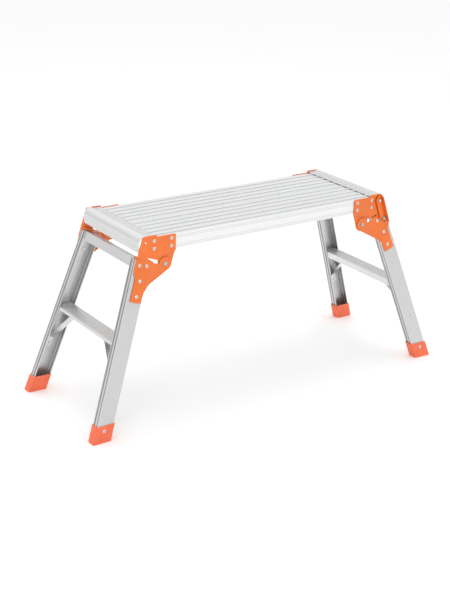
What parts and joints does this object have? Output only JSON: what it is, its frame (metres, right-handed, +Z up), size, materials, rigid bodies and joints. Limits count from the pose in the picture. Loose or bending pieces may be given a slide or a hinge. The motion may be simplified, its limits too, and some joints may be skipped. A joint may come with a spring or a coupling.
{
  "type": "folding work platform",
  "caption": "Low folding aluminium work platform: ribbed deck on splayed leg frames with steps, painted hinge brackets, latches and rubber feet.",
  "frame": {"origin": "on the floor under the middle of the deck", "axes": "+X along the deck to the right, +Y to the rear, +Z up"},
  "size_m": [1.15, 0.4094, 0.52],
  "materials": {
    "deck_aluminium": "satin mill finish, ribbed extrusion",
    "frame_aluminium": "satin mill finish extrusion",
    "bracket_paint": "orange powder coat on pressed steel",
    "foot_rubber": "matt moulded rubber",
    "rivet_steel": "bright zinc plated",
    "pin_steel": "dull zinc plated"
  },
  "bodies": {
    "platform": {"deck_plank_front": "deck_aluminium", "deck_plank_rear": "deck_aluminium", "end_rail_right": "deck_aluminium", "end_rail_left": "deck_aluminium", "deck_bracket_rivets": "rivet_steel", "end_rail_screws": "rivet_steel", "deck_bracket_front_right": "bracket_paint", "deck_bracket_front_left": "bracket_paint", "deck_bracket_rear_right": "bracket_paint", "deck_bracket_rear_left": "bracket_paint", "latch_pivot_front_right": "rivet_steel", "latch_pivot_rear_left": "rivet_steel"},
    "leg_right": {"leg_bracket_front_right": "bracket_paint", "stile_front_right": "frame_aluminium", "step_brace_front_right": "frame_aluminium", "foot_front_right": "foot_rubber", "hinge_pin_front_right": "pin_steel", "latch_stud_front_right": "pin_steel", "leg_bracket_rear_right": "bracket_paint", "stile_rear_right": "frame_aluminium", "step_brace_rear_right": "frame_aluminium", "foot_rear_right": "foot_rubber", "hinge_pin_rear_right": "pin_steel", "step_right": "frame_aluminium", "cross_rail_right": "frame_aluminium", "leg_bracket_rivets_right": "rivet_steel", "foot_rivets_right": "rivet_steel", "brace_rivets_right": "rivet_steel", "step_rivets_right": "rivet_steel", "cross_rail_rivets_right": "rivet_steel"},
    "leg_left": {"leg_bracket_front_left": "bracket_paint", "stile_front_left": "frame_aluminium", "step_brace_front_left": "frame_aluminium", "foot_front_left": "foot_rubber", "hinge_pin_front_left": "pin_steel", "leg_bracket_rear_left": "bracket_paint", "stile_rear_left": "frame_aluminium", "step_brace_rear_left": "frame_aluminium", "foot_rear_left": "foot_rubber", "hinge_pin_rear_left": "pin_steel", "latch_stud_rear_left": "pin_steel", "step_left": "frame_aluminium", "cross_rail_left": "frame_aluminium", "leg_bracket_rivets_left": "rivet_steel", "foot_rivets_left": "rivet_steel", "brace_rivets_left": "rivet_steel", "step_rivets_left": "rivet_steel", "cross_rail_rivets_left": "rivet_steel"},
    "latch_front_right": {"latch_front_right": "bracket_paint"},
    "latch_rear_left": {"latch_rear_left": "bracket_paint"}
  },
  "joints": [
    {"name": "leg_right_fold", "type": "hinge", "parent": "platform", "child": "leg_right", "pos_m": [0.3266, 0, 0.4375], "axis": [0, 1, 0], "range_deg": [0, 105.5]},
    {"name": "leg_left_fold", "type": "hinge", "parent": "platform", "child": "leg_left", "pos_m": [-0.3266, 0, 0.4375], "axis": [0, -1, 0], "range_deg": [0, 117.5]},
    {"name": "latch_front_right_swing", "type": "hinge", "parent": "platform", "child": "latch_front_right", "pos_m": [0.3842, -0.1543, 0.5024], "axis": [0, -1, 0], "range_deg": [0, 71]},
    {"name": "latch_rear_left_swing", "type": "hinge", "parent": "platform", "child": "latch_rear_left", "pos_m": [-0.3842, 0.1543, 0.5024], "axis": [0, 1, 0], "range_deg": [0, 71]}
  ],
  "couplings": [
    {"joint": "latch_front_right_swing", "follows": "leg_right_fold", "ratio": 0.6},
    {"joint": "latch_rear_left_swing", "follows": "leg_left_fold", "ratio": 0.6}
  ]
}
